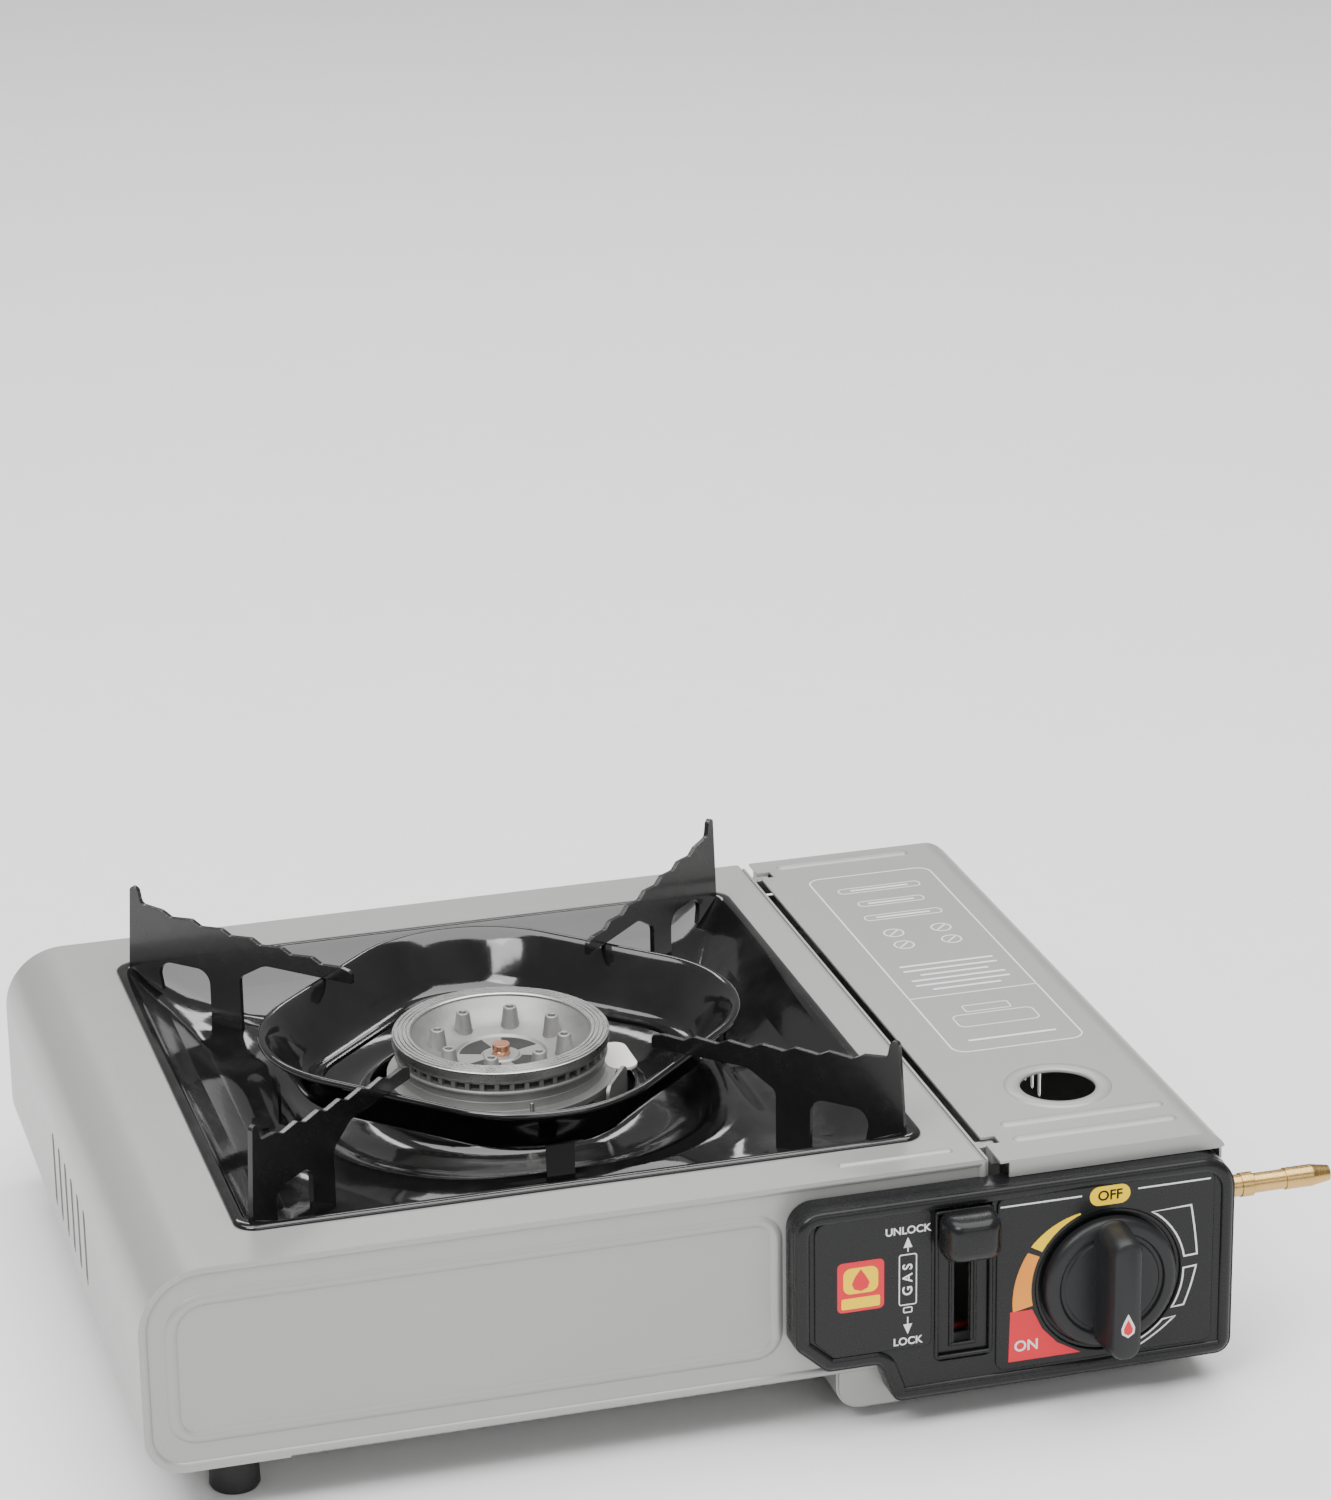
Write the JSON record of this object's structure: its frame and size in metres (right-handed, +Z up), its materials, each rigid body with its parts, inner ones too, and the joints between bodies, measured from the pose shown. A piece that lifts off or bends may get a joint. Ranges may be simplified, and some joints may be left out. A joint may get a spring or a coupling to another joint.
{
  "type": "camping stove",
  "caption": "Portable single-burner cartridge stove: folded steel casing, black enamel drip tray with pan supports and wind ring, hinged cartridge lid, control knob and lock lever.",
  "frame": {"origin": "middle of the whole stove's footprint (knob and hose nozzle included), on the table", "axes": "+X to the cartridge side, +Y to the back, +Z up; the controls face -Y"},
  "size_m": [0.381, 0.283, 0.1148],
  "materials": {
    "silver_paint": "satin",
    "black_enamel": "gloss",
    "cast_aluminium": "cast",
    "brass": "satin",
    "copper": "satin",
    "black_plastic": "semi-gloss",
    "steel": "zinc plated",
    "ceramic": "glazed",
    "cable": "satin",
    "rubber": "matte"
  },
  "bodies": {
    "casing": {"top_casing": "silver_paint", "front_panel": "silver_paint", "rear_panel": "silver_paint", "base_pan": "silver_paint", "compartment_pan": "silver_paint", "divider_wall": "silver_paint", "burner_body": "cast_aluminium", "burner_head": "cast_aluminium", "regulator_body": "cast_aluminium", "heat_strip": "cast_aluminium", "hose_nozzle": "brass", "jet_nozzle": "brass", "burner_screw": "copper", "control_panel": "black_plastic", "piezo_body": "black_plastic", "lid_hinge_pins": "steel", "mixing_tube": "steel", "electrode_bracket": "steel", "electrode_wire": "steel", "collar_guide": "steel", "lever_bracket": "steel", "lever_pivot_pin": "steel", "pusher_guides": "steel", "base_screws": "steel", "panel_screws": "steel", "electrode_ceramic": "ceramic", "ignition_lead": "cable", "feet_left": "rubber", "feet_right": "rubber"},
    "drip_tray_set": {"drip_tray": "black_enamel", "wind_ring": "black_enamel", "ring_tabs": "black_enamel", "support_back_right": "black_enamel", "support_back_left": "black_enamel", "support_front_left": "black_enamel", "support_front_right": "black_enamel"},
    "lid": {"lid": "silver_paint"},
    "knob": {"knob": "black_plastic", "valve_spindle": "steel", "ignition_cam": "black_plastic"},
    "lock_lever": {"lever_arm": "steel", "lever_grip": "black_plastic"},
    "pusher": {"pusher_slide": "steel"},
    "piezo": {"piezo_plunger": "black_plastic"}
  },
  "joints": [
    {"name": "knob_turn", "type": "hinge", "parent": "casing", "child": "knob", "pos_m": [0.1081, -0.1155, 0.042], "axis": [0, -1, 0], "range_deg": [0, 135]},
    {"name": "lever_turn", "type": "hinge", "parent": "casing", "child": "lock_lever", "pos_m": [0.0612, -0.0775, 0.052], "axis": [1, 0, 0], "range_deg": [0, 34]},
    {"name": "pusher_slide_travel", "type": "slide", "parent": "casing", "child": "pusher", "axis": [0, -1, 0], "range_m": [0, 0.00995]},
    {"name": "lid_hinge", "type": "hinge", "parent": "casing", "child": "lid", "pos_m": [0.0765, 0, 0.0816], "axis": [0, -1, 0], "range_deg": [0, 95]},
    {"name": "tray_lift", "type": "slide", "parent": "casing", "child": "drip_tray_set", "axis": [0, 0, 1], "range_m": [0, 0.05]},
    {"name": "igniter_press", "type": "slide", "parent": "casing", "child": "piezo", "axis": [0, 0, -1], "range_m": [0, 0.0025], "stiffness_N_per_m": 400}
  ],
  "couplings": [
    {"joint": "pusher_slide_travel", "follows": "lever_turn", "m_per_rad": 0.016752}
  ]
}
